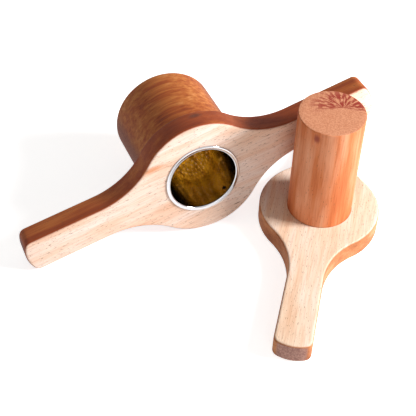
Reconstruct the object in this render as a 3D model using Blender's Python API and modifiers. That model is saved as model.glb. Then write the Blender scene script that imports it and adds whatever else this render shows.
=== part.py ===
"""A wooden hand press for noodles and savoury strings, in two loose halves.

The barrel is a round board with two handles, a turned drum behind it, and a steel sleeve
that runs through both to a perforated brass die. The plunger is a second board with two
handles, and a turned piston that fits the sleeve. The barrel lies on its side, and the
plunger stands on its board beside it. Run with: blender --background --python part.py
Lengths are metres and +Z is up.
"""

import math

import bmesh
import bpy
from mathutils import Matrix, Vector

# Bore and piston: the piston, sleeve, die and drum all take their size from the bore.
BORE_RADIUS = 0.0272
PISTON_CLEARANCE = 0.0012
SLEEVE_WALL = 0.0008
RIM_WIDTH = 0.0026
RIM_PROUD = 0.0010
CHAMBER_DEPTH = 0.0860

# Barrel board and drum.
BARREL_DISC_RADIUS = 0.0505
BARREL_THICKNESS = 0.0200
BARREL_REACH = 0.1502
BARREL_FILLET = 0.0640
DRUM_RADIUS = 0.0417
DRUM_END_ROUND = 0.0030
LEDGE_WIDTH = 0.0032
LEDGE_THICKNESS = 0.0060

# Plunger board and piston.
PLUNGER_DISC_RADIUS = 0.0487
PLUNGER_THICKNESS = 0.0175
PLUNGER_REACH = 0.1485
PLUNGER_FILLET = 0.0580
PISTON_LENGTH = 0.0980
PISTON_END_ROUND = 0.0007
SOCKET_DEPTH = 0.0050

# Both pairs of handles.
HANDLE_ROOT_HALF_WIDTH = 0.0140
HANDLE_END_HALF_WIDTH = 0.0147
HANDLE_CORNER = 0.0060
HANDLE_END_BULGE_RADIUS = 0.0280
EDGE_ROUND = 0.0020

# Die.
DIE_THICKNESS = 0.0020
DIE_HOLE_RADIUS = 0.0011
DIE_HOLE_PITCH = 0.0050
DIE_RINGS = 4

# Fasteners.
DOWEL_RADIUS = 0.0030
DOWEL_LENGTH = 0.0180
DOWEL_COUNT = 4
SCREW_COUNT = 3
SCREW_SHANK_RADIUS = 0.0020
SCREW_HEAD_RADIUS = 0.0040
SCREW_LENGTH = 0.0300
SCREW_HEAD_DEPTH = 0.0056
SCREW_HEAD_RIM = 0.0004
SCREW_PITCH_RADIUS = 0.0150
NAIL_SHANK_RADIUS = 0.0007
NAIL_HEAD_RADIUS = 0.0013
NAIL_HEAD_THICKNESS = 0.0004
NAIL_LENGTH = 0.0090
NAIL_DEPTH = 0.0050
NAIL_ANGLE = math.radians(-58)

# Where the two halves stand: the room beside the plunger's disc, and the gap past the barrel's face.
PLUNGER_ROOM = 0.0436
PLUNGER_STANDOFF = 0.0002
PLUNGER_HANDLE_HEADING = math.radians(57.4)

GAP = 0.0003
CUT_MARGIN = 0.0020
EDGE_STEPS = 2
ROUND_STEPS = 64
SMALL_STEPS = 16

# Sizes that follow from the ones above.
PISTON_RADIUS = BORE_RADIUS - PISTON_CLEARANCE
SLEEVE_RADIUS = BORE_RADIUS + SLEEVE_WALL
SEAT_RADIUS = SLEEVE_RADIUS + GAP
DIE_RADIUS = SLEEVE_RADIUS
LEDGE_RADIUS = BORE_RADIUS - LEDGE_WIDTH
SLEEVE_END = CHAMBER_DEPTH - GAP
LEDGE_TOP = CHAMBER_DEPTH + DIE_THICKNESS + GAP
BARREL_LENGTH = LEDGE_TOP + LEDGE_THICKNESS
PISTON_TOP = PLUNGER_THICKNESS + PISTON_LENGTH
PISTON_FOOT = PLUNGER_THICKNESS - SOCKET_DEPTH + GAP
PLUNGER_ASIDE = PLUNGER_DISC_RADIUS + PLUNGER_ROOM

PARTS = "hand_press"
CUTTERS = "hand_press_cutters"

# sRGB-like base colours, roughness and metallic of each material.
FINISHES = {
    "wood": ((0.62, 0.36, 0.17), 0.55, 0.0),
    "dowel_wood": ((0.72, 0.55, 0.34), 0.60, 0.0),
    "steel": ((0.72, 0.72, 0.74), 0.25, 1.0),
    "brass": ((0.72, 0.50, 0.18), 0.30, 1.0),
}


def clear_scene():
    for old in list(bpy.data.objects):
        bpy.data.objects.remove(old)


def collection(name):
    made = bpy.data.collections.new(name)
    bpy.context.scene.collection.children.link(made)
    return made


def material(name):
    colour, roughness, metallic = FINISHES[name]
    made = bpy.data.materials.new(name)
    made.use_nodes = True
    shader = made.node_tree.nodes["Principled BSDF"]
    shader.inputs["Base Color"].default_value = (*colour, 1.0)
    shader.inputs["Roughness"].default_value = roughness
    shader.inputs["Metallic"].default_value = metallic
    return made


def place(name, mesh, parent, finish):
    """Puts a mesh in the parts collection, on its parent, with a material of its own."""
    made = bpy.data.objects.new(name, mesh)
    bpy.data.collections[PARTS].objects.link(made)
    made.parent = parent
    mesh.materials.clear()
    mesh.materials.append(material(finish))
    return made


def smooth(mesh, angle=35):
    mesh.shade_smooth()
    mesh.set_sharp_from_angle(angle=math.radians(angle))


def arc(centre, radius, start, end, steps):
    """Points along an arc from one angle to another, without its last point."""
    turn = (end - start) / steps
    return [
        (
            centre[0] + radius * math.cos(start + turn * i),
            centre[1] + radius * math.sin(start + turn * i),
        )
        for i in range(steps)
    ]


def handle_quarter(disc_radius, reach, fillet):
    """A quarter of a board's outline: from the disc's top, down its side and out along a handle."""
    slope = (HANDLE_END_HALF_WIDTH - HANDLE_ROOT_HALF_WIDTH) / (reach - disc_radius)
    stretch = math.hypot(1, slope)
    tilt = math.atan(slope)
    at_root = HANDLE_ROOT_HALF_WIDTH - slope * disc_radius
    meet = tilt + math.asin((at_root + stretch * fillet) / ((disc_radius + fillet) * stretch))
    fillet_at = (
        (disc_radius + fillet) * math.cos(meet),
        (disc_radius + fillet) * math.sin(meet),
    )
    # The end bulges on an arc about end_at, and a corner arc joins it to the handle's edge.
    end_at = reach - HANDLE_END_BULGE_RADIUS
    offset = at_root + slope * end_at - stretch * HANDLE_CORNER
    reach_in = HANDLE_END_BULGE_RADIUS - HANDLE_CORNER
    square = 1 + slope * slope
    under = (slope * offset) ** 2 - square * (offset**2 - reach_in**2)
    along = (math.sqrt(under) - slope * offset) / square
    corner_at = (end_at + along, offset + slope * along)
    corner_turn = math.atan2(corner_at[1], along)
    points = arc((0, 0), disc_radius, math.pi / 2, meet, 9)
    points += arc(fillet_at, fillet, meet + math.pi, 1.5 * math.pi + tilt, 8)
    points += [(fillet_at[0] + fillet * math.sin(tilt), fillet_at[1] - fillet * math.cos(tilt))]
    points += arc(corner_at, HANDLE_CORNER, math.pi / 2 + tilt, corner_turn, 4)
    points += arc((end_at, 0), HANDLE_END_BULGE_RADIUS, corner_turn, 0, 3)
    return points + [(reach, 0.0)], corner_at


def board_outline(disc_radius, reach, fillet):
    """The whole outline, clockwise from the top of the disc, mirrored from one quarter."""
    quarter, _ = handle_quarter(disc_radius, reach, fillet)
    right = quarter + [(x, -y) for x, y in reversed(quarter[1:-1])]
    return right + [(-x, -y) for x, y in right]


def board_mesh(name, outline, thickness):
    """A flat board with rounded edges, from z = -thickness/2 to thickness/2."""
    curve = bpy.data.curves.new(name, "CURVE")
    curve.dimensions = "2D"
    curve.fill_mode = "BOTH"
    curve.extrude = thickness / 2 - EDGE_ROUND
    curve.bevel_depth = EDGE_ROUND
    curve.bevel_resolution = EDGE_STEPS
    curve.offset = -EDGE_ROUND
    spline = curve.splines.new("POLY")
    spline.points.add(len(outline) - 1)
    for point, (x, y) in zip(spline.points, outline):
        point.co = (x, y, 0, 1)
    spline.use_cyclic_u = True
    flat = bpy.data.objects.new(name + "_outline", curve)
    bpy.data.collections[CUTTERS].objects.link(flat)
    graph = bpy.context.evaluated_depsgraph_get()
    mesh = bpy.data.meshes.new_from_object(flat.evaluated_get(graph))
    bpy.data.objects.remove(flat)
    weld(mesh)
    return mesh


def weld(mesh):
    """Joins loose caps to their sides and turns the faces outwards."""
    shape = bmesh.new()
    shape.from_mesh(mesh)
    bmesh.ops.remove_doubles(shape, verts=shape.verts, dist=0.00001)
    bmesh.ops.recalc_face_normals(shape, faces=shape.faces)
    shape.to_mesh(mesh)
    shape.free()


def turned_mesh(name, profile, steps, closed):
    """A solid of revolution about Z from (radius, height) points down its outer side."""
    mesh = bpy.data.meshes.new(name)
    edges = [(i, i + 1) for i in range(len(profile) - 1)]
    if closed:
        edges.append((len(profile) - 1, 0))
    mesh.from_pydata([(r, 0, z) for r, z in profile], edges, [])
    lathe = bpy.data.objects.new(name + "_profile", mesh)
    bpy.data.collections[CUTTERS].objects.link(lathe)
    screw = lathe.modifiers.new("Turn", "SCREW")
    screw.steps = steps
    screw.render_steps = steps
    screw.use_merge_vertices = True
    screw.merge_threshold = 0.00001
    graph = bpy.context.evaluated_depsgraph_get()
    turned = bpy.data.meshes.new_from_object(lathe.evaluated_get(graph))
    bpy.data.objects.remove(lathe)
    turned.name = name
    weld(turned)
    return turned


def rod_mesh(name, radius, low, high, steps=SMALL_STEPS):
    """A round rod about Z from one height to another."""
    shape = bmesh.new()
    bmesh.ops.create_cone(
        shape,
        cap_ends=True,
        segments=steps,
        radius1=radius,
        radius2=radius,
        depth=high - low,
        matrix=Matrix.Translation((0, 0, (high + low) / 2)),
    )
    mesh = bpy.data.meshes.new(name)
    shape.to_mesh(mesh)
    shape.free()
    return mesh


def moved(mesh, *places):
    """The same shape at each of several places, in one mesh."""
    shape = bmesh.new()
    for matrix in places:
        copy = mesh.copy()
        copy.transform(matrix)
        shape.from_mesh(copy)
        bpy.data.meshes.remove(copy)
    joined = bpy.data.meshes.new(mesh.name)
    shape.to_mesh(joined)
    shape.free()
    return joined


def cut(piece, name, mesh):
    """Takes a cutter's shape out of a piece. The cutter shares the piece's parent."""
    cutter = bpy.data.objects.new(name, mesh)
    bpy.data.collections[CUTTERS].objects.link(cutter)
    cutter.parent = piece.parent
    cutter.hide_render = True
    cutter.display_type = "WIRE"
    boolean = piece.modifiers.new(name, "BOOLEAN")
    boolean.operation = "DIFFERENCE"
    boolean.solver = "EXACT"
    boolean.object = cutter


def ring_places(count, radius, start=0.0):
    """Places evenly spaced on a circle about Z."""
    angles = [start + 2 * math.pi * i / count for i in range(count)]
    return [
        Matrix.Translation((radius * math.cos(a), radius * math.sin(a), 0)) for a in angles
    ]


def dowel_places():
    """The dowels sit midway in the drum's wall, between the handles' line and the top."""
    middle = (SEAT_RADIUS + DRUM_RADIUS) / 2
    return ring_places(DOWEL_COUNT, middle, math.pi / DOWEL_COUNT)


def nail_place():
    """The nail's frame: its Z points out through the sleeve's wall, away from the bore."""
    turn = Matrix.Rotation(NAIL_ANGLE, 4, "Z") @ Matrix.Rotation(math.pi / 2, 4, "Y")
    return Matrix.Translation((0, 0, -NAIL_DEPTH)) @ turn


def barrel_board(parent):
    outline = board_outline(BARREL_DISC_RADIUS, BARREL_REACH, BARREL_FILLET)
    mesh = board_mesh("barrel_board", outline, BARREL_THICKNESS)
    mesh.transform(Matrix.Translation((0, 0, -BARREL_THICKNESS / 2)))
    smooth(mesh)
    board = place("barrel_board", mesh, parent, "wood")
    low = -BARREL_THICKNESS - CUT_MARGIN
    cut(board, "board_bore", rod_mesh("board_bore", SEAT_RADIUS, low, CUT_MARGIN, ROUND_STEPS))
    hole = rod_mesh("board_dowel_hole", DOWEL_RADIUS + GAP, low, dowel_top() + GAP)
    cut(board, "board_dowel_holes", moved(hole, *dowel_places()))
    reach = nail_tip() + GAP
    nail_hole = rod_mesh("nail_hole", NAIL_SHANK_RADIUS + GAP, BORE_RADIUS, reach)
    cut(board, "board_nail_hole", moved(nail_hole, nail_place()))
    return board


def dowel_top():
    return -BARREL_THICKNESS + DOWEL_LENGTH / 2


def drum(parent):
    top = -BARREL_THICKNESS - GAP
    end = -BARREL_LENGTH
    turn = arc((DRUM_RADIUS - DRUM_END_ROUND, end + DRUM_END_ROUND), DRUM_END_ROUND, 0,
               -math.pi / 2, 4)
    profile = [(SEAT_RADIUS, top), (DRUM_RADIUS, top)] + turn
    profile += [(DRUM_RADIUS - DRUM_END_ROUND, end), (LEDGE_RADIUS, end)]
    profile += [(LEDGE_RADIUS, -LEDGE_TOP), (SEAT_RADIUS, -LEDGE_TOP)]
    mesh = turned_mesh("drum", profile, ROUND_STEPS, closed=True)
    smooth(mesh)
    made = place("drum", mesh, parent, "wood")
    hole = rod_mesh("drum_dowel_hole", DOWEL_RADIUS + GAP, dowel_bottom() - GAP, top + CUT_MARGIN)
    cut(made, "drum_dowel_holes", moved(hole, *dowel_places()))
    return made


def dowel_bottom():
    return -BARREL_THICKNESS - DOWEL_LENGTH / 2


def drum_dowels(parent):
    for number, matrix in enumerate(dowel_places(), start=1):
        name = f"drum_dowel_{number}"
        mesh = rod_mesh(name, DOWEL_RADIUS, dowel_bottom(), dowel_top())
        mesh.transform(matrix)
        smooth(mesh)
        place(name, mesh, parent, "dowel_wood")


def sleeve(parent):
    """The steel lining, with its mouth rolled over onto the board's face."""
    lip = RIM_PROUD
    outer = SLEEVE_RADIUS + RIM_WIDTH
    crown = arc((BORE_RADIUS + lip, GAP), lip, math.pi, math.pi / 2, 4)
    profile = [(BORE_RADIUS, -SLEEVE_END)] + crown + [(BORE_RADIUS + lip, GAP + lip)]
    profile += arc((outer - lip, GAP), lip, math.pi / 2, 0, 4)
    profile += [(outer, GAP), (SLEEVE_RADIUS, GAP), (SLEEVE_RADIUS, -SLEEVE_END)]
    mesh = turned_mesh("sleeve", profile, ROUND_STEPS, closed=True)
    smooth(mesh)
    made = place("sleeve", mesh, parent, "steel")
    hole = rod_mesh("sleeve_nail_hole", NAIL_SHANK_RADIUS + GAP, BORE_RADIUS - CUT_MARGIN,
                    SLEEVE_RADIUS + CUT_MARGIN, SMALL_STEPS)
    cut(made, "sleeve_nail_hole", moved(hole, nail_place()))
    return made


def nail_tip():
    return BORE_RADIUS + NAIL_LENGTH


def sleeve_nail(parent):
    """A small nail from inside the mouth, whose flat head holds the sleeve to the board."""
    seat = math.sqrt(BORE_RADIUS**2 - NAIL_HEAD_RADIUS**2) - GAP
    crown = seat - NAIL_HEAD_THICKNESS
    point = nail_tip() - 3 * NAIL_SHANK_RADIUS
    profile = [(0, -crown), (NAIL_HEAD_RADIUS, -crown), (NAIL_HEAD_RADIUS, -seat)]
    profile += [(NAIL_SHANK_RADIUS, -seat), (NAIL_SHANK_RADIUS, -point), (0, -nail_tip())]
    mesh = turned_mesh("sleeve_nail", profile, SMALL_STEPS, closed=False)
    mesh.transform(nail_place() @ Matrix.Rotation(math.pi, 4, "X"))
    smooth(mesh)
    return place("sleeve_nail", mesh, parent, "steel")


def die(parent):
    """A brass plate with rings of holes, held between the sleeve's end and the drum's ledge."""
    top, bottom = -CHAMBER_DEPTH, -CHAMBER_DEPTH - DIE_THICKNESS
    mesh = rod_mesh("die", DIE_RADIUS, bottom, top, ROUND_STEPS)
    smooth(mesh)
    made = place("die", mesh, parent, "brass")
    hole = rod_mesh("die_hole", DIE_HOLE_RADIUS, bottom - CUT_MARGIN, top + CUT_MARGIN, 8)
    places = [Matrix.Identity(4)]
    for ring in range(1, DIE_RINGS + 1):
        places += ring_places(6 * ring, DIE_HOLE_PITCH * ring)
    cut(made, "die_holes", moved(hole, *places))
    return made


def plunger_board(parent):
    outline = board_outline(PLUNGER_DISC_RADIUS, PLUNGER_REACH, PLUNGER_FILLET)
    mesh = board_mesh("plunger_board", outline, PLUNGER_THICKNESS)
    mesh.transform(Matrix.Translation((0, 0, PLUNGER_THICKNESS / 2)))
    smooth(mesh)
    board = place("plunger_board", mesh, parent, "wood")
    top = PLUNGER_THICKNESS + CUT_MARGIN
    socket = rod_mesh("piston_socket", PISTON_RADIUS + GAP, PLUNGER_THICKNESS - SOCKET_DEPTH, top,
                      ROUND_STEPS)
    cut(board, "piston_socket", socket)
    cut(board, "board_screw_holes", moved(screw_hole_mesh("board_screw_hole"), *screw_places()))
    return board


def screw_places():
    return ring_places(SCREW_COUNT, SCREW_PITCH_RADIUS, math.pi / 2)


def screw_hole_mesh(name):
    """A screw's hole, up from the board's underside: a counterbore for its plug, then a shank hole."""
    wide, narrow = SCREW_HEAD_RADIUS + GAP, SCREW_SHANK_RADIUS + GAP
    seat = SCREW_HEAD_DEPTH + screw_head_height()
    tip = SCREW_HEAD_DEPTH + SCREW_LENGTH + GAP
    profile = [(0, tip), (narrow, tip), (narrow, seat), (wide, SCREW_HEAD_DEPTH)]
    profile += [(wide, -CUT_MARGIN), (0, -CUT_MARGIN)]
    return turned_mesh(name, profile, SMALL_STEPS, closed=False)


def screw_head_height():
    """The height of a countersunk head at 45 degrees."""
    return SCREW_HEAD_RADIUS - SCREW_SHANK_RADIUS


def piston(parent):
    """The turned cylinder that presses the dough, with its foot let into the board."""
    top, low, edge = PISTON_TOP, PISTON_FOOT, PISTON_END_ROUND
    profile = [(0, top)]
    profile += arc((PISTON_RADIUS - edge, top - edge), edge, math.pi / 2, 0, 3)
    profile += [(PISTON_RADIUS, top - edge), (PISTON_RADIUS, low), (0, low)]
    mesh = turned_mesh("piston", profile, ROUND_STEPS, closed=False)
    smooth(mesh)
    made = place("piston", mesh, parent, "wood")
    cut(made, "piston_screw_holes", moved(screw_hole_mesh("piston_screw_hole"), *screw_places()))
    return made


def piston_screws(parent):
    """Countersunk wood screws up through the board into the piston, each under a wood plug."""
    head, shank = SCREW_HEAD_RADIUS, SCREW_SHANK_RADIUS
    foot, tip = SCREW_HEAD_DEPTH - SCREW_HEAD_RIM, SCREW_HEAD_DEPTH + SCREW_LENGTH
    profile = [(0, tip), (shank, tip - 3 * shank), (shank, SCREW_HEAD_DEPTH + screw_head_height())]
    profile += [(head, SCREW_HEAD_DEPTH), (head, foot), (0, foot)]
    for number, matrix in enumerate(screw_places(), start=1):
        screw = turned_mesh("piston_screw", profile, SMALL_STEPS, closed=False)
        plug = rod_mesh("screw_plug", SCREW_HEAD_RADIUS, GAP, foot - GAP)
        for mesh, finish in ((screw, "steel"), (plug, "dowel_wood")):
            name = f"{mesh.name.split('.')[0]}_{number}"
            mesh.transform(matrix)
            smooth(mesh)
            place(name, mesh, parent, finish)


def barrel_lean():
    """The angle by which the bore rises to its mouth, where the board's rim and the drum's end
    both touch the ground, each with its own rounded edge."""
    across = BARREL_DISC_RADIUS - EDGE_ROUND - DRUM_RADIUS + DRUM_END_ROUND
    along = BARREL_LENGTH - DRUM_END_ROUND - BARREL_THICKNESS + EDGE_ROUND
    rounds = DRUM_END_ROUND - EDGE_ROUND
    return math.acos(rounds / math.hypot(across, along)) - math.atan2(along, across)


def barrel_roll():
    """The angle by which the barrel rolls about its bore until one handle's end touches."""
    _, corner = handle_quarter(BARREL_DISC_RADIUS, BARREL_REACH, BARREL_FILLET)
    reach = math.hypot(*corner)
    return math.asin((BARREL_DISC_RADIUS - HANDLE_CORNER) / reach) - math.atan2(corner[1], corner[0])


def barrel_height():
    """The height of the mouth's centre over the ground."""
    lean = barrel_lean()
    radius = (BARREL_DISC_RADIUS - EDGE_ROUND) * math.cos(lean)
    return radius + (BARREL_THICKNESS - EDGE_ROUND) * math.sin(lean) + EDGE_ROUND


def empty(name, parent, location):
    made = bpy.data.objects.new(name, None)
    bpy.data.collections[PARTS].objects.link(made)
    made.parent = parent
    made.location = location
    return made


def stand_on_centre(root):
    """Moves the whole press so that the middle of its box lies over the origin, on the ground."""
    bpy.context.view_layer.update()
    graph = bpy.context.evaluated_depsgraph_get()
    solids = [piece.evaluated_get(graph) for piece in root.children_recursive if piece.data]
    corners = [
        piece.matrix_world @ vertex.co
        for piece in solids
        if not piece.hide_render
        for vertex in piece.data.vertices
    ]
    low = Vector([min(c[i] for c in corners) for i in range(3)])
    high = Vector([max(c[i] for c in corners) for i in range(3)])
    middle = (low + high) / 2
    root.location = (-middle.x, -middle.y, -low.z)


def barrel(root):
    """The barrel's own frame has its origin at the mouth, +Z out of the bore, X along the handles."""
    mouth = empty("barrel_mouth", root, (0, 0, barrel_height()))
    mouth.rotation_mode = "ZYX"
    mouth.rotation_euler = (math.pi / 2 - barrel_lean(), 0, barrel_roll())
    barrel_board(mouth)
    drum(mouth)
    drum_dowels(mouth)
    sleeve(mouth)
    sleeve_nail(mouth)
    die(mouth)


def plunger(root):
    """The plunger's own frame has its origin under its board, +Z up the piston."""
    aside = (PLUNGER_ASIDE, -PISTON_RADIUS - PLUNGER_STANDOFF, 0)
    foot = empty("plunger_foot", root, aside)
    foot.rotation_euler = (0, 0, PLUNGER_HANDLE_HEADING)
    plunger_board(foot)
    piston(foot)
    piston_screws(foot)


def build():
    clear_scene()
    collection(PARTS)
    collection(CUTTERS)
    root = empty("hand_press_frame", None, (0, 0, 0))
    barrel(root)
    plunger(root)
    stand_on_centre(root)


build()
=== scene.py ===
# %% [markdown]
# # A wooden hand press for noodles
# The press is two loose halves. The barrel is a board with two handles, a turned drum behind it, a
# steel sleeve down the bore and a perforated brass die at the far end. The plunger is a second board
# with a turned piston on it. This lesson shapes each piece with numpy, gives it a finish built from
# nodes, and puts it where the measured model says that it lies.

# %% Load the measured model
import math
import bpy
import numpy as np
from mathutils import Matrix, Vector


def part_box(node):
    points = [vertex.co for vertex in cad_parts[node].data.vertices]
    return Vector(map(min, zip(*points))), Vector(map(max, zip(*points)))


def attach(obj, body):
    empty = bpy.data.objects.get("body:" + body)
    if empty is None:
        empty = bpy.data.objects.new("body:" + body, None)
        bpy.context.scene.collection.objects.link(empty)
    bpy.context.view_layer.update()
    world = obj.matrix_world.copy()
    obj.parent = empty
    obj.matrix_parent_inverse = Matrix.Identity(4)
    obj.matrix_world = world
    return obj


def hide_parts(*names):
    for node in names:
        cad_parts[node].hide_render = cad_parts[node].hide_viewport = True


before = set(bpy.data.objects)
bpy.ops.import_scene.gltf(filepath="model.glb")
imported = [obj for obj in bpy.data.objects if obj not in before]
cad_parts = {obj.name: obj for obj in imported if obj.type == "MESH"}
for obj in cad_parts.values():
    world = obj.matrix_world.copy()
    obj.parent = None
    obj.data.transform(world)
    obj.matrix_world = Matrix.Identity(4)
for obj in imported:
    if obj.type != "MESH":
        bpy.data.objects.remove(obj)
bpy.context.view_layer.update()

# %% [markdown]
# ## Where the two halves lie
# The barrel rests on three points: the rim of its board, the end of its drum and the end of one
# handle. That makes it lean back and roll a little. A local frame per half keeps the shapes simple:
# each piece is drawn straight, in metres, and then one matrix carries its points into place.

# %% Sizes in metres
BORE_RADIUS = 0.0272
SLEEVE_WALL = 0.0008
RIM_WIDTH = 0.0026
RIM_PROUD = 0.0010
CHAMBER_DEPTH = 0.0860
BARREL_DISC_RADIUS = 0.0505
BARREL_THICKNESS = 0.0200
BARREL_REACH = 0.1502
BARREL_FILLET = 0.0640
DRUM_RADIUS = 0.0417
DRUM_END_ROUND = 0.0030
LEDGE_WIDTH = 0.0032
LEDGE_THICKNESS = 0.0060
PLUNGER_DISC_RADIUS = 0.0487
PLUNGER_THICKNESS = 0.0175
PLUNGER_REACH = 0.1485
PLUNGER_FILLET = 0.0580
PISTON_CLEARANCE = 0.0012
PISTON_LENGTH = 0.0980
PISTON_END_ROUND = 0.0007
SOCKET_DEPTH = 0.0050
HANDLE_ROOT_HALF_WIDTH = 0.0140
HANDLE_END_HALF_WIDTH = 0.0147
HANDLE_CORNER = 0.0060
HANDLE_END_BULGE_RADIUS = 0.0280
EDGE_ROUND = 0.0020
DIE_THICKNESS = 0.0020
GAP = 0.0003

PISTON_RADIUS = BORE_RADIUS - PISTON_CLEARANCE
SLEEVE_RADIUS = BORE_RADIUS + SLEEVE_WALL
SEAT_RADIUS = SLEEVE_RADIUS + GAP
LEDGE_RADIUS = BORE_RADIUS - LEDGE_WIDTH
LEDGE_TOP = CHAMBER_DEPTH + DIE_THICKNESS + GAP
BARREL_LENGTH = LEDGE_TOP + LEDGE_THICKNESS
PISTON_TOP = PLUNGER_THICKNESS + PISTON_LENGTH
PISTON_FOOT = PLUNGER_THICKNESS - SOCKET_DEPTH + GAP

# %% The plunger's frame
plunger_low, plunger_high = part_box("piston")
plunger_middle = (plunger_low + plunger_high) / 2
PLUNGER_HEADING = math.radians(57.4)
plunger_frame = Matrix.Translation((plunger_middle.x, plunger_middle.y, 0)) @ Matrix.Rotation(
    PLUNGER_HEADING, 4, "Z"
)
print("plunger stands at", [round(1000 * v, 2) for v in plunger_frame.translation])

# %% [markdown]
# ## Turning a grid of points into a mesh
# Every shape below is a grid: one direction goes round the piece, the other goes over it. A grid that
# closes round itself needs no seam, and a single face caps each open end.

# %% A helper that makes a mesh from a grid
def grid_faces(rows, columns):
    """Four corners per cell, the columns wrapping round, so cell (r, c) joins columns c and c + 1."""
    r, c = np.meshgrid(np.arange(rows - 1), np.arange(columns), indexing="ij")
    after = (c + 1) % columns
    return np.stack([r * columns + c, r * columns + after,
                     (r + 1) * columns + after, (r + 1) * columns + c], -1).reshape(-1, 4)


def ring_faces(rows, columns, closed):
    """The grid's faces, and then a last row back to the first ring, or a cap on each end."""
    faces = [tuple(f) for f in grid_faces(rows, columns).tolist()]
    last, c = (rows - 1) * columns, np.arange(columns)
    if closed:
        after = (c + 1) % columns
        return faces + [tuple(f) for f in np.stack([last + c, last + after, after, c], -1).tolist()]
    return faces + [tuple(c[::-1].tolist()), tuple((last + c).tolist())]


def place(points, where):
    """Rotates and moves every point at once: place = points times the turn, plus the shift."""
    turn = np.array(where.to_3x3())
    return points @ turn.T + np.array(where.translation)


def add_mesh(name, points, faces, smooth_angle=35):
    """An object from points and faces, smooth but for edges sharper than the angle in degrees."""
    mesh = bpy.data.meshes.new(name)
    mesh.from_pydata(points.tolist(), [], [list(f) for f in faces])
    mesh.validate()
    mesh.update()
    piece = bpy.data.objects.new(name, mesh)
    bpy.context.scene.collection.objects.link(piece)
    mesh.polygons.foreach_set("use_smooth", np.ones(len(mesh.polygons), bool))
    mesh.set_sharp_from_angle(angle=math.radians(smooth_angle))
    print(name, len(mesh.vertices), "points", len(mesh.polygons), "faces")
    return piece


# %% A helper that turns a profile on a lathe
def lathe(name, profile, where, around=160, closed=False):
    """Each profile point (radius, height) is carried round the axis:
    x = radius cos(angle), y = radius sin(angle), z = height."""
    profile = np.array(profile, float)
    angle = np.linspace(0, 2 * math.pi, around, endpoint=False)
    points = np.stack([np.outer(profile[:, 0], np.cos(angle)),
                       np.outer(profile[:, 0], np.sin(angle)),
                       np.repeat(profile[:, 1:2], around, 1)], -1).reshape(-1, 3)
    return add_mesh(name, place(points, where), ring_faces(len(profile), around, closed))


def quarter_round(centre, radius, start, end, steps=6):
    """Points on an arc: centre plus radius times (cos, sin) of each angle."""
    angle = np.linspace(start, end, steps)
    return [(centre[0] + radius * math.cos(a), centre[1] + radius * math.sin(a)) for a in angle]

# %% [markdown]
# ## The boards
# Each board is sawn from one plank: a disc with a handle at each side, whose long edges flow into the
# disc on wide arcs. Sanding takes every edge down to a soft round. The outline is built from circle
# arcs, made even by arc length, and then carried over a rounded edge profile.

# %% The outline of a board
def handle_quarter(disc_radius, reach, fillet, fine=16):
    """A quarter of the outline: the disc's arc, the fillet's arc, the handle's straight edge, its
    corner arc and half of its bulging end. Each arc touches the next without a kink. Also gives the
    middle of the corner's arc."""
    slope = (HANDLE_END_HALF_WIDTH - HANDLE_ROOT_HALF_WIDTH) / (reach - disc_radius)
    stretch = math.hypot(1, slope)
    tilt = math.atan(slope)
    at_root = HANDLE_ROOT_HALF_WIDTH - slope * disc_radius
    meet = tilt + math.asin((at_root + stretch * fillet) / ((disc_radius + fillet) * stretch))
    fillet_at = ((disc_radius + fillet) * math.cos(meet), (disc_radius + fillet) * math.sin(meet))
    end_at = reach - HANDLE_END_BULGE_RADIUS
    offset = at_root + slope * end_at - stretch * HANDLE_CORNER
    reach_in = HANDLE_END_BULGE_RADIUS - HANDLE_CORNER
    square = 1 + slope * slope
    under = (slope * offset) ** 2 - square * (offset**2 - reach_in**2)
    along = (math.sqrt(under) - slope * offset) / square
    corner_at = (end_at + along, offset + slope * along)
    corner_turn = math.atan2(corner_at[1], along)
    points = quarter_round((0, 0), disc_radius, math.pi / 2, meet, 3 * fine)
    points += quarter_round(fillet_at, fillet, meet + math.pi, 1.5 * math.pi + tilt, 3 * fine)[1:]
    points += quarter_round(corner_at, HANDLE_CORNER, math.pi / 2 + tilt, corner_turn, fine)
    points += quarter_round((end_at, 0), HANDLE_END_BULGE_RADIUS, corner_turn, 0, fine)[1:]
    return points, corner_at


def board_outline(disc_radius, reach, fillet, count=640):
    """The quarter mirrored four ways, anticlockwise, then spaced evenly along its own length."""
    quarter, _ = handle_quarter(disc_radius, reach, fillet)
    quarter = np.array(quarter)[::-1]
    half = np.concatenate([quarter, quarter[::-1][1:] * [-1, 1]])
    whole = np.concatenate([half, half[::-1][1:-1] * [1, -1]])
    ring = np.concatenate([whole, whole[:1]])
    run = np.concatenate([[0], np.cumsum(np.hypot(*np.diff(ring, axis=0).T))])
    even = np.linspace(0, run[-1], count, endpoint=False)
    return np.stack([np.interp(even, run, ring[:, 0]), np.interp(even, run, ring[:, 1])], 1)


# %% [markdown]
# ## How the barrel lies
# The barrel tips back until its drum's end touches as well as its board's rim, and then it rolls about
# its bore until a handle's corner touches too. Both angles follow from the sizes, so they stay right if
# a size changes. The measured die is centred on the bore, and the mouth lies straight above it.

# %% The barrel's frame
def barrel_lean():
    """Two rounded edges touch one plane where the line between their centres, turned by
    acos(difference of radii / distance), lies level."""
    across = BARREL_DISC_RADIUS - EDGE_ROUND - DRUM_RADIUS + DRUM_END_ROUND
    along = BARREL_LENGTH - DRUM_END_ROUND - BARREL_THICKNESS + EDGE_ROUND
    rounds = DRUM_END_ROUND - EDGE_ROUND
    return math.acos(rounds / math.hypot(across, along)) - math.atan2(along, across)


def barrel_roll():
    """A handle's corner comes as low as the disc at asin((disc - corner radius) / distance), less
    the corner's own angle."""
    _, corner = handle_quarter(BARREL_DISC_RADIUS, BARREL_REACH, BARREL_FILLET)
    away = math.hypot(*corner)
    return math.asin((BARREL_DISC_RADIUS - HANDLE_CORNER) / away) - math.atan2(corner[1], corner[0])


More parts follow.
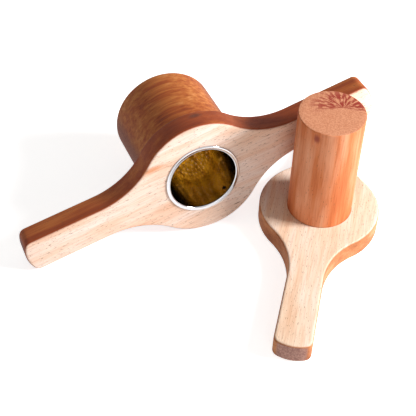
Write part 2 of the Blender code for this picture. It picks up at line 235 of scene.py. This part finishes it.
tipped = Matrix.Rotation(math.pi / 2 - barrel_lean(), 4, "X")
barrel_turn = tipped @ Matrix.Rotation(barrel_roll(), 4, "Z")
die_low, die_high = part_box("die")
up_the_bore = barrel_turn.to_3x3().col[2] * (CHAMBER_DEPTH + DIE_THICKNESS / 2)
barrel_frame = Matrix.Translation((die_low + die_high) / 2 + up_the_bore) @ barrel_turn
print("mouth lies at", [round(1000 * v, 2) for v in barrel_frame.translation])

# %% A board as rings carried over its edge
def board(name, outline, low, high, hole_radius, hole_depth, where):
    """Ring k is the outline moved inwards by inset(k) at height(k), inwards being the outline's
    left-hand normal. Between the outline and the hole, rings are mixed: (1 - t) outline + t circle.
    A hole as deep as the board goes through, and a shallower one has a floor."""
    along = np.roll(outline, -1, 0) - np.roll(outline, 1, 0)
    inward = np.stack([-along[:, 1], along[:, 0]], 1) / np.hypot(*along.T)[:, None]
    turn = np.arctan2(outline[:, 1], outline[:, 0])
    circle = hole_radius * np.stack([np.cos(turn), np.sin(turn)], 1)
    flat = outline + inward * EDGE_ROUND
    bend = np.linspace(0, math.pi / 2, 7)
    inset, rise = EDGE_ROUND * (1 - np.sin(bend)), EDGE_ROUND * (1 - np.cos(bend))
    rings = [(outline + inward * i, low + z) for i, z in zip(inset, rise)]
    rings += [(outline + inward * i, high - z) for i, z in zip(inset[::-1], rise[::-1])]
    mixes = np.linspace(0, 1, 9)[1:]
    rings += [((1 - t) * flat + t * circle, high) for t in mixes]
    through = hole_depth >= high - low
    depths = np.linspace(0, hole_depth, 5)[1:-1] if through else [hole_depth]
    rings += [(circle, high - depth) for depth in depths]
    under = [((1 - t) * flat + t * circle, low) for t in mixes[::-1]]
    if not through:
        rings += [(circle * share, high - hole_depth) for share in (0.6, 0.2)]
        under = [(circle * share, low) for share in (0.2, 0.6)] + under
    rings = under + rings
    points = np.concatenate([np.column_stack([xy, np.full(len(xy), z)]) for xy, z in rings])
    return add_mesh(name, place(points, where), ring_faces(len(rings), len(outline), through))


def bore_out(piece, cutters):
    """Takes each cutter out of a piece for good, so that no live Boolean is left on it."""
    for cutter in cutters:
        hole = piece.modifiers.new(cutter.name, "BOOLEAN")
        hole.operation = "DIFFERENCE"
        hole.solver = "EXACT"
        hole.object = cutter
    graph = bpy.context.evaluated_depsgraph_get()
    mesh = bpy.data.meshes.new_from_object(piece.evaluated_get(graph))
    piece.modifiers.clear()
    piece.data = mesh
    for cutter in cutters:
        bpy.data.objects.remove(cutter)
    mesh.polygons.foreach_set("use_smooth", np.ones(len(mesh.polygons), bool))
    mesh.set_sharp_from_angle(angle=math.radians(35))
    return piece


# %% [markdown]
# ### The holes for dowels, screws and plugs
# The pegs and screws inside are measured parts that stay as they are. Each gets a socket a little wider
# than itself, placed from its own box, so that the wood round it is really hollow there.

# %% Sockets for the dowels and screws
DOWEL_RADIUS = 0.0030
PLUG_RADIUS = 0.0040
SHANK_RADIUS = 0.0020
PLUG_DEPTH = 0.0056
SCREW_REACH = 0.0356


def node_middle(node):
    """The middle of a measured piece's box."""
    low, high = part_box(node)
    return (low + high) / 2


def dowel_sockets(tag):
    """One rod for each dowel, along the bore's axis and a gap longer at each end."""
    made = []
    for number in range(1, 5):
        local = barrel_frame.inverted() @ node_middle(f"drum_dowel_{number}")
        rod = [(DOWEL_RADIUS + GAP, local.z - 0.0093), (DOWEL_RADIUS + GAP, local.z + 0.0093)]
        where = barrel_frame @ Matrix.Translation((local.x, local.y, 0))
        made.append(lathe(f"{tag}_{number}", rod, where, 32))
    return made


def screw_sockets(tag):
    """A plug's counterbore, a 45 degree countersink and a shank hole, under each screw."""
    made = []
    for number in range(1, 4):
        middle = node_middle(f"piston_screw_{number}")
        wide, narrow = PLUG_RADIUS + GAP, SHANK_RADIUS + GAP
        profile = [(wide, -0.002), (wide, PLUG_DEPTH), (narrow, PLUG_DEPTH + wide - narrow),
                   (narrow, SCREW_REACH + GAP)]
        where = Matrix.Translation((middle.x, middle.y, 0))
        made.append(lathe(f"{tag}_{number}", profile, where, 32))
    return made


# %% The barrel's board
barrel_board = board(
    "barrel_board_wood", board_outline(BARREL_DISC_RADIUS, BARREL_REACH, BARREL_FILLET),
    -BARREL_THICKNESS, 0.0, SEAT_RADIUS, BARREL_THICKNESS, barrel_frame,
)
bore_out(barrel_board, dowel_sockets("board_socket"))

# %% The plunger's board
plunger_board = board(
    "plunger_board_wood", board_outline(PLUNGER_DISC_RADIUS, PLUNGER_REACH, PLUNGER_FILLET),
    0.0, PLUNGER_THICKNESS, PISTON_RADIUS + GAP, SOCKET_DEPTH, plunger_frame,
)
bore_out(plunger_board, screw_sockets("board_hole"))

# %% [markdown]
# ## The turned pieces
# Drum, piston and sleeve come off a lathe, so each is one profile carried round an axis. The drum has a
# ledge at its far end that the die sits on. The sleeve is rolled over the board's face at its mouth,
# which gives the bright ring. The piston's far end has only a fine break on its edge, so that it still
# scrapes the sleeve clean.

# %% The drum
drum_end = -BARREL_LENGTH
drum_round = quarter_round((DRUM_RADIUS - DRUM_END_ROUND, drum_end + DRUM_END_ROUND), DRUM_END_ROUND,
                           -math.pi / 2, 0, 9)
drum_top = -BARREL_THICKNESS - GAP
drum_profile = [(LEDGE_RADIUS, drum_end)] + drum_round
drum_profile += [(DRUM_RADIUS, z) for z in np.linspace(drum_end + 0.012, drum_top, 6)]
drum_profile += [(SEAT_RADIUS, drum_top), (SEAT_RADIUS, -LEDGE_TOP), (LEDGE_RADIUS, -LEDGE_TOP)]
drum = lathe("drum_wood", drum_profile, barrel_frame, 192, closed=True)
bore_out(drum, dowel_sockets("drum_socket"))

# %% The piston
piston_edge = quarter_round((PISTON_RADIUS - PISTON_END_ROUND, PISTON_TOP - PISTON_END_ROUND),
                            PISTON_END_ROUND, 0, math.pi / 2, 5)
piston_profile = [(PISTON_RADIUS * s, PISTON_FOOT) for s in (0.2, 0.6)]
piston_profile += [(PISTON_RADIUS, z) for z in np.linspace(PISTON_FOOT, PISTON_TOP - 0.003, 9)]
piston_profile += piston_edge + [(PISTON_RADIUS * s, PISTON_TOP) for s in (0.8, 0.6, 0.4, 0.2, 0.05)]
piston = lathe("piston_wood", piston_profile, plunger_frame, 160)
bore_out(piston, screw_sockets("piston_hole"))

# %% The sleeve and its rolled rim
rim_outer = SLEEVE_RADIUS + RIM_WIDTH
sleeve_profile = [(SLEEVE_RADIUS, z) for z in np.linspace(-CHAMBER_DEPTH + GAP, GAP, 5)]
sleeve_profile += quarter_round((rim_outer - RIM_PROUD, GAP), RIM_PROUD, 0, math.pi / 2, 8)
sleeve_profile += quarter_round((BORE_RADIUS + RIM_PROUD, GAP), RIM_PROUD, math.pi / 2, math.pi, 8)
sleeve_profile += [(BORE_RADIUS, z) for z in np.linspace(-0.002, -CHAMBER_DEPTH + GAP, 12)]
sleeve = lathe("sleeve_steel", sleeve_profile, barrel_frame, 192, closed=True)
NAIL_SHANK_RADIUS = 0.0007
NAIL_DEPTH = 0.0050
NAIL_ANGLE = math.radians(-58)
nail_turn = Matrix.Rotation(NAIL_ANGLE, 4, "Z") @ Matrix.Rotation(math.pi / 2, 4, "Y")


def nail_socket(tag, start, end):
    """A thin rod out through the wall, along the nail."""
    where = barrel_frame @ Matrix.Translation((0, 0, -NAIL_DEPTH)) @ nail_turn
    radius = NAIL_SHANK_RADIUS + GAP
    return lathe(tag, [(radius, start), (radius, end)], where, 24)


bore_out(sleeve, [nail_socket("sleeve_nail_socket", BORE_RADIUS - 0.002, SLEEVE_RADIUS + 0.002)])
bore_out(barrel_board, [nail_socket("board_nail_socket", BORE_RADIUS, BORE_RADIUS + 0.0093)])

# %% [markdown]
# ## Wood
# The boards, drum and piston look like one pale tropical hardwood, cut on different faces of the grain.
# A plank's sawn edges, where oil and hands reach them, are coloured darker, and its end grain, whose
# open pores drink the oil, darker still. This is partly their own oiled colour and partly painted shade
# for edges and ends turned from the lamp; the drum's deeper red-brown is likewise partly painted shade.
# So one finish follows the grain in three dimensions and asks which way the surface faces, and each
# piece gets its own colours. Solid noise is used, not a flat picture, so the grain lines run over an
# edge and down the side as they do in timber.

# %% Colours and a helper that adds a node
def hex_colour(code):
    """sRGB hex to linear: c / 12.92 below 0.04045, and ((c + 0.055) / 1.055) ** 2.4 above."""
    parts = [int(code[i:i + 2], 16) / 255 for i in (1, 3, 5)]
    return (*[c / 12.92 if c <= 0.04045 else ((c + 0.055) / 1.055) ** 2.4 for c in parts], 1.0)


def node(tree, kind, inputs=None, **settings):
    """Adds one node. A value in inputs that is a socket is linked, and anything else is set."""
    made = tree.nodes.new("ShaderNode" + kind)
    for name, value in settings.items():
        setattr(made, name, value)
    for key, value in (inputs or {}).items():
        if isinstance(value, bpy.types.NodeSocket):
            tree.links.new(value, made.inputs[key])
        else:
            made.inputs[key].default_value = value
    return made


def ramp(tree, factor, stops):
    """A colour ramp from (position, hex colour) stops."""
    made = node(tree, "ValToRGB", {"Fac": factor})
    band = made.color_ramp
    for index, (at, code) in enumerate(stops):
        stop = band.elements[index] if index < 2 else band.elements.new(at)
        stop.position = at
        stop.color = hex_colour(code)
    return made.outputs["Color"]


def step(tree, value, low, high):
    """0 below low, 1 above high and smooth between."""
    return node(tree, "MapRange", {"Value": value, "From Min": low, "From Max": high},
                interpolation_type="SMOOTHSTEP").outputs["Result"]


def mix(tree, factor, first, second, blend="MIX"):
    """Two colours blended by a factor. Each may be a value or a socket."""
    made = node(tree, "Mix", data_type="RGBA", blend_type=blend)
    for index, value in ((0, factor), (6, first), (7, second)):
        if isinstance(value, bpy.types.NodeSocket):
            tree.links.new(value, made.inputs[index])
        else:
            made.inputs[index].default_value = value
    return made.outputs[2]


def maths(tree, operation, first, second=0.0):
    """One sum on two numbers. Each may be a value or a socket."""
    return node(tree, "Math", {0: first, 1: second}, operation=operation).outputs[0]


def new_finish(name):
    """An empty material, its node tree and its surface shader."""
    made = bpy.data.materials.new(name)
    made.use_nodes = True
    return made, made.node_tree, made.node_tree.nodes["Principled BSDF"]


# %% Coordinates along the grain
def grain_space(tree, where):
    """Object coordinates carried back into a piece's own frame, whose X runs along the grain."""
    place_of = node(tree, "TexCoord").outputs
    local = node(tree, "Mapping", {
        "Vector": place_of["Object"], "Location": tuple(where.translation),
        "Rotation": tuple(where.to_euler("XYZ")),
    }, vector_type="TEXTURE").outputs["Vector"]
    return local, place_of["Normal"]


def stretched(tree, local, along, across, detail=3.0, seed=0.0):
    """Noise whose marks are about along by across by across, in metres."""
    spot = node(tree, "Mapping", {"Vector": local, "Location": (seed, seed * 0.7, seed * 1.3),
                                  "Scale": (1 / along, 1 / across, 1 / across)}).outputs["Vector"]
    return node(tree, "TexNoise", {"Vector": spot, "Scale": 1.0, "Detail": detail,
                                   "Roughness": 0.55}).outputs["Fac"]


def facing(tree, normal, direction):
    """How squarely the surface looks along a direction, either way: |normal . direction|."""
    dot = node(tree, "VectorMath", {0: normal, 1: tuple(direction)}, operation="DOT_PRODUCT")
    return maths(tree, "ABSOLUTE", dot.outputs["Value"])


def near(tree, local, centre, size):
    """1 at a knot's centre and 0 past its size, which is (along, across, across)."""
    away = node(tree, "VectorMath", {0: local, 1: centre}, operation="SUBTRACT").outputs[0]
    scaled = node(tree, "VectorMath", {0: away, 1: tuple(1 / s for s in size)}, operation="MULTIPLY")
    length = node(tree, "VectorMath", {0: scaled.outputs[0]}, operation="LENGTH").outputs["Value"]
    return maths(tree, "SUBTRACT", 1.0, step(tree, length, 0.15, 1.0))


# %% [markdown]
# ### One timber, four cuts
# Broad figure is 9 mm wide and 110 mm long, and only 3.5 mm wide on the drum, where the lathe cuts
# through more rings. Fibres are about 1 mm by 18 mm, and pores show as dark dashes 0.6 mm by 3 mm. Real
# pores are a third of that width, and they are drawn coarser here, because finer ones would vanish at
# the size this is seen. Bare sanded wood scatters light, so the highlights are broad and weak.

# %% The wood finish
def hardwood(name, where, figure, side, end, knots=(), pore_share=0.66, side_on=True, seed=0.0,
             band=0.009):
    """Sanded and oiled hardwood: matt, with open pores. figure, side and end are ramps of colours,
    and band is how wide the broad figure is."""
    made, tree, shader = new_finish(name)
    local, normal = grain_space(tree, where)
    turn = where.to_3x3()
    broad = stretched(tree, local, 0.110, band, 4.0, seed)
    patch = stretched(tree, local, 0.060, 0.030, 1.0, seed + 3.0)
    fibre = stretched(tree, local, 0.018, 0.0010, 2.0, seed + 5.0)
    pore = stretched(tree, local, 0.0032, 0.0006, 1.0, seed + 9.0)
    tone = maths(tree, "ADD", maths(tree, "MULTIPLY", broad, 0.65), maths(tree, "MULTIPLY", patch, 0.35))
    colour = ramp(tree, tone, figure)
    if side_on:
        # The sides take the side colours: partly their own oiled colour, partly painted shade.
        side_oil_and_shade = maths(tree, "SUBTRACT", 1.0, step(tree, facing(tree, normal, turn.col[2]), 0.55, 0.97))
        colour = mix(tree, side_oil_and_shade, colour, ramp(tree, tone, side))
    for centre, size, code, strength in knots:
        spot = maths(tree, "MULTIPLY", near(tree, local, centre, size), strength)
        colour = mix(tree, spot, colour, hex_colour(code))
    grain = maths(tree, "MULTIPLY", step(tree, fibre, 0.42, 0.70), 0.30)
    colour = mix(tree, grain, colour, hex_colour("#D2A076"), "MULTIPLY")
    dash = maths(tree, "MULTIPLY", step(tree, pore, pore_share, pore_share + 0.05), 0.75)
    colour = mix(tree, dash, colour, hex_colour("#7A4A2C"))
    speckle = stretched(tree, local, 0.0012, 0.0012, 2.0, seed + 13.0)
    # End grain takes the end colours; on the boards these are partly oiled pores and partly painted shade.
    cut_end = step(tree, facing(tree, normal, turn.col[0]), 0.80, 0.96)
    colour = mix(tree, cut_end, colour, ramp(tree, speckle, end))
    tree.links.new(colour, shader.inputs["Base Color"])
    rough = maths(tree, "ADD", maths(tree, "MULTIPLY", fibre, 0.20), 0.56)
    tree.links.new(rough, shader.inputs["Roughness"])
    shader.inputs["IOR"].default_value = 1.4
    relief = maths(tree, "SUBTRACT", fibre, maths(tree, "MULTIPLY", dash, 1.2))
    bump = node(tree, "Bump", {"Height": relief, "Strength": 0.35, "Distance": 0.00015})
    tree.links.new(bump.outputs["Normal"], shader.inputs["Normal"])
    return made


# %% The barrel's two woods
PALE = [(0.30, "#E4B08E"), (0.46, "#F1CFB8"), (0.62, "#F7E2D6")]
# The side and end colours below are darker partly for oiled wood and partly as painted shade.
EDGE_OIL_AND_SHADE = [(0.30, "#7A2F14"), (0.50, "#A24C22"), (0.68, "#C8753A")]
END_OIL_AND_SHADE = [(0.35, "#643229"), (0.65, "#8A5244")]
board_knots = [
    ((0.0122, 0.0490, -0.0143), (0.009, 0.004, 0.004), "#5C3326", 0.8),
    ((-0.0355, 0.0296, 0.0), (0.016, 0.004, 0.003), "#D07A3C", 0.7),
    ((0.0196, -0.0399, 0.0), (0.004, 0.0007, 0.002), "#6A3C20", 0.9),
]
board_finish = hardwood("oiled_hardwood_board", barrel_frame, PALE, EDGE_OIL_AND_SHADE, END_OIL_AND_SHADE, board_knots)
# The drum's red-brown figure and end colours are partly its own colour and partly painted shade.
drum_figure_and_shade = [(0.28, "#7A3010"), (0.44, "#AC5420"), (0.58, "#C87838"), (0.74, "#E0A066")]
drum_finish = hardwood("oiled_hardwood_drum", barrel_frame, drum_figure_and_shade, EDGE_OIL_AND_SHADE,
                       [(0.35, "#6E3220"), (0.65, "#98553A")], (), 0.68, False, 4.0, 0.0035)

# %% The plunger's board
plunger_pale = [(0.30, "#E2B490"), (0.46, "#F0D4BA"), (0.62, "#F7E6D8")]
# The plunger's side and end colours are darker partly for oiled wood and partly as painted shade.
plunger_edge_and_shade = [(0.30, "#96512C"), (0.50, "#C0794A"), (0.68, "#DCA070")]
plunger_finish = hardwood("sanded_hardwood_board", plunger_frame, plunger_pale, plunger_edge_and_shade,
                          [(0.35, "#93665A"), (0.65, "#B98C7C")], (), 0.66, True, 7.0)

# %% [markdown]
# ### The piston's end
# A turned post shows long fibre down its side and a disc of end grain on top. Dark red heartwood runs
# out from the heart in short streaks, on one side only, because the heart isn't in the middle.

# %% The piston's finish
stand_up = plunger_frame @ Matrix.Rotation(-math.pi / 2, 4, "Y")
knot_on_side = stand_up.inverted() @ (plunger_frame @ Vector((-0.0247, 0.0080, 0.1091)))
heart = stand_up.inverted() @ (plunger_frame @ Vector((0.0074, -0.0068, PISTON_TOP)))
piston_figure = [(0.30, "#BC5A28"), (0.46, "#D87C48"), (0.60, "#EA9F76"), (0.72, "#F3C09A")]
piston_end = [(0.35, "#C47C58"), (0.65, "#DC9A76")]
piston_finish = hardwood(
    "sanded_hardwood_post", stand_up, piston_figure, EDGE_OIL_AND_SHADE, piston_end,
    [(tuple(knot_on_side), (0.006, 0.004, 0.004), "#8A2F22", 0.85)], 0.70, False, 11.0,
)


RED_SIDE = Vector((0.985, 0.167, 0.0))


def heart_streaks(finish):
    """Streaks in directions from the heart, kept to one side of it: noise reads (direction,
    distance), so it has no seam."""
    tree = finish.node_tree
    shader = tree.nodes["Principled BSDF"]
    under = shader.inputs["Base Color"].links[0].from_socket
    local, normal = grain_space(tree, stand_up)
    away = node(tree, "VectorMath", {0: local, 1: tuple(heart)}, operation="SUBTRACT").outputs[0]
    flat = node(tree, "VectorMath", {0: away, 1: (0.0, 1.0, 1.0)}, operation="MULTIPLY").outputs[0]
    length = node(tree, "VectorMath", {0: flat}, operation="LENGTH").outputs["Value"]
    ray = node(tree, "VectorMath", {0: flat}, operation="NORMALIZE").outputs[0]
    drift = node(tree, "CombineXYZ", {"X": maths(tree, "MULTIPLY", length, 160.0)}).outputs[0]
    spread = node(tree, "VectorMath", {0: ray, 1: (0.0, 7.0, 7.0)}, operation="MULTIPLY").outputs[0]
    spot = node(tree, "VectorMath", {0: spread, 1: drift}, operation="ADD").outputs[0]
    streak = node(tree, "TexNoise", {"Vector": spot, "Scale": 1.0, "Detail": 3.0}).outputs["Fac"]
    fade = maths(tree, "SUBTRACT", 1.0, step(tree, length, 0.012, 0.032))
    toward = stand_up.to_3x3().inverted() @ (plunger_frame.to_3x3() @ RED_SIDE)
    side = node(tree, "VectorMath", {0: ray, 1: tuple(toward)}, operation="DOT_PRODUCT")
    fade = maths(tree, "MULTIPLY", fade, step(tree, side.outputs["Value"], -0.45, 0.10))
    red = maths(tree, "MULTIPLY", step(tree, streak, 0.42, 0.54), fade)
    on_end = step(tree, facing(tree, normal, stand_up.to_3x3().col[0]), 0.80, 0.96)
    red = maths(tree, "MULTIPLY", maths(tree, "MULTIPLY", red, on_end), 0.9)
    tree.links.new(mix(tree, red, under, hex_colour("#8E1A12")), shader.inputs["Base Color"])


heart_streaks(piston_finish)

# %% [markdown]
# ## Metal
# The sleeve is stainless steel, drawn and polished, and a warmer, patchy grey from a few millimetres
# down the bore. Fine scratches run along the bore, because the piston slides that way. The die is
# brass, and the warm light inside the barrel is the die's own reflection in the sleeve.

# %% The sleeve's steel
def steel(name, bright, dull, rough):
    """Drawn steel: its colour goes from bright at the rim to dull 10 mm down the bore."""
    made, tree, shader = new_finish(name)
    local, _ = grain_space(tree, barrel_frame)
    depth = node(tree, "SeparateXYZ", {"Vector": local}).outputs["Z"]
    # From 4 mm down the bore the colour turns to a warmer, patchy grey.
    inside = maths(tree, "SUBTRACT", 1.0, step(tree, depth, -0.004, 0.0001))
    lines = node(tree, "Mapping", {"Vector": local, "Scale": (900.0, 900.0, 35.0)}).outputs["Vector"]
    scratch = node(tree, "TexNoise", {"Vector": lines, "Scale": 1.0, "Detail": 3.0}).outputs["Fac"]
    film = node(tree, "Mapping", {"Vector": local, "Scale": (70.0, 70.0, 45.0)}).outputs["Vector"]
    bore_blotch = node(tree, "TexNoise", {"Vector": film, "Scale": 1.0, "Detail": 3.0}).outputs["Fac"]
    bore_tone = ramp(tree, bore_blotch, [(0.30, dull), (0.68, "#DAD4CC")])
    tree.links.new(mix(tree, inside, hex_colour(bright), bore_tone), shader.inputs["Base Color"])
    shader.inputs["Metallic"].default_value = 1.0
    wear = maths(tree, "ADD", maths(tree, "MULTIPLY", scratch, 0.10), rough)
    tree.links.new(wear, shader.inputs["Roughness"])
    bump = node(tree, "Bump", {"Height": scratch, "Strength": 0.25, "Distance": 0.00005})
    tree.links.new(bump.outputs["Normal"], shader.inputs["Normal"])
    return made


sleeve_finish = steel("polished_drawn_steel", "#C6C6C9", "#B4ACA4", 0.04)

# %% The die's brass
def cast_metal(name, light, dark, rough, grain=0.0012):
    """Stamped or cast metal with slight tarnish: two tones in patches of the given size in metres."""
    made, tree, shader = new_finish(name)
    local, _ = grain_space(tree, barrel_frame)
    patch = stretched(tree, local, grain * 6, grain * 6, 3.0, 2.0)
    fine = stretched(tree, local, grain, grain, 2.0, 6.0)
    tree.links.new(ramp(tree, patch, [(0.30, dark), (0.65, light)]), shader.inputs["Base Color"])
    shader.inputs["Metallic"].default_value = 1.0
    tarnish = maths(tree, "ADD", maths(tree, "MULTIPLY", fine, 0.20), rough)
    tree.links.new(tarnish, shader.inputs["Roughness"])
    return made


die_finish = cast_metal("polished_brass", "#F2B52E", "#C07F18", 0.15)
screw_finish = cast_metal("zinc_plated_steel", "#A9A9AA", "#76767A", 0.30)
nail_finish = cast_metal("blued_steel", "#2A2422", "#120E0D", 0.45)
dowel_finish = hardwood("beech_dowel", barrel_frame, [(0.35, "#D2A676"), (0.65, "#E6C79C")], EDGE_OIL_AND_SHADE,
                        [(0.35, "#B98A60"), (0.65, "#D0A679")], (), 0.70, False, 17.0)

# %% [markdown]
# ## Joining looks to the measured model
# A finer piece hides the measured solid it stands for and rides on the same half. Dowels, screws, plugs,
# the nail and the die keep their measured shape and only get a better finish.

# %% Put every piece on its half
looks = [
    (barrel_board, "barrel", "barrel_board", "barrel_wood", board_finish),
    (drum, "barrel", "drum", "barrel_wood", drum_finish),
    (sleeve, "barrel", "sleeve", "sleeve_steel", sleeve_finish),
    (plunger_board, "plunger", "plunger_board", "plunger_wood", plunger_finish),
    (piston, "plunger", "piston", "plunger_wood", piston_finish),
]
for piece, body, node_name, slot_name, finish in looks:
    piece.data.materials.clear()
    piece.data.materials.append(finish)
    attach(piece, body)
    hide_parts(node_name)

kept = {"die": die_finish, "sleeve_nail": nail_finish}
kept.update({f"drum_dowel_{n}": dowel_finish for n in range(1, 5)})
kept.update({f"piston_screw_{n}": screw_finish for n in range(1, 4)})
kept.update({f"screw_plug_{n}": dowel_finish for n in range(1, 4)})
for node_name, finish in kept.items():
    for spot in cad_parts[node_name].material_slots:
        spot.material = finish
print("kept solids", len(kept), "finer pieces", len(looks))

# %% [markdown]
# ## Floor, light and camera
# A wide pale floor and a white world leave only the press and its soft shadow. One large lamp at the
# front right models the round forms, and throws the piston's shadow on the barrel's face. A weak one in
# front reaches into the bore, and the world fills the rest only a little, so that the shadows stay deep.

# %% The floor
FLOOR_HALF = 3.0
FLOOR_GLOW = 0.74
corners = np.array([(-1, -1, 0), (1, -1, 0), (1, 1, 0), (-1, 1, 0)], float) * FLOOR_HALF
floor = add_mesh("floor", corners - [0, 0, 0.0002], [(0, 1, 2, 3)])
floor_finish, tree, shader = new_finish("white_paper_floor")
shader.inputs["Base Color"].default_value = hex_colour("#F4F4F4")
shader.inputs["Roughness"].default_value = 0.9
seen = node(tree, "LightPath").outputs
lit = maths(tree, "MAXIMUM", seen["Is Camera Ray"], seen["Is Glossy Ray"])
lit = maths(tree, "MAXIMUM", lit, seen["Is Transmission Ray"])
glow = node(tree, "Emission", {"Color": (1, 1, 1, 1), "Strength": maths(tree, "MULTIPLY", lit, FLOOR_GLOW)})
both = node(tree, "AddShader", {0: shader.outputs[0], 1: glow.outputs[0]})
tree.links.new(both.outputs[0], tree.nodes["Material Output"].inputs["Surface"])
floor.data.materials.append(floor_finish)

# %% The world
WORLD_FILL = 0.23
WORLD_SEEN = 0.77
world = bpy.data.worlds.new("white_room")
bpy.context.scene.world = world
world.use_nodes = True
tree = world.node_tree
seen = node(tree, "LightPath").outputs
lit = maths(tree, "MAXIMUM", seen["Is Camera Ray"], seen["Is Glossy Ray"])
lit = maths(tree, "MAXIMUM", lit, seen["Is Transmission Ray"])
strength = maths(tree, "ADD", maths(tree, "MULTIPLY", lit, WORLD_SEEN), WORLD_FILL)
tree.links.new(strength, tree.nodes["Background"].inputs["Strength"])
sky = mix(tree, lit, hex_colour("#FFFAF6"), hex_colour("#FFFFFF"))
tree.links.new(sky, tree.nodes["Background"].inputs["Color"])

# %% The lamp
def lamp(name, place_at, aim_at, size, power):
    """A square area lamp, turned to face a point. Size in metres, power in watts."""
    data = bpy.data.lights.new(name, "AREA")
    data.size = size
    data.energy = power
    made = bpy.data.objects.new(name, data)
    made.location = place_at
    made.rotation_euler = (Vector(aim_at) - Vector(place_at)).to_track_quat("-Z", "Y").to_euler()
    bpy.context.scene.collection.objects.link(made)
    return made


lamp("window_right", (1.05, -0.55, 0.75), (0, 0, 0.04), 0.42, 31.0)
lamp("room_front", (-0.10, -1.10, 0.35), (-0.02, 0.03, 0.05), 0.60, 1.6)

# %% The camera
LENS = 98.2177
CAMERA_HEADING = math.radians(66.967)
CAMERA_DIP = math.radians(45.544)
CAMERA_TILT = math.radians(2.779)
CAMERA_FROM_PLUNGER = Vector((-0.33787, -0.564164, 0.67094))
camera_data = bpy.data.cameras.new("camera")
camera_data.lens = LENS
camera_data.sensor_width = 36.0
camera = bpy.data.objects.new("camera", camera_data)
facing_along = Matrix.Rotation(CAMERA_HEADING - math.pi / 2, 4, "Z")
stance = facing_along @ Matrix.Rotation(math.pi / 2 - CAMERA_DIP, 4, "X")
stance = stance @ Matrix.Rotation(CAMERA_TILT, 4, "Z")
camera_at = plunger_frame.translation + CAMERA_FROM_PLUNGER
camera.matrix_world = Matrix.Translation(camera_at) @ stance
bpy.context.scene.collection.objects.link(camera)
bpy.context.scene.camera = camera
bpy.context.scene.view_settings.view_transform = "Standard"
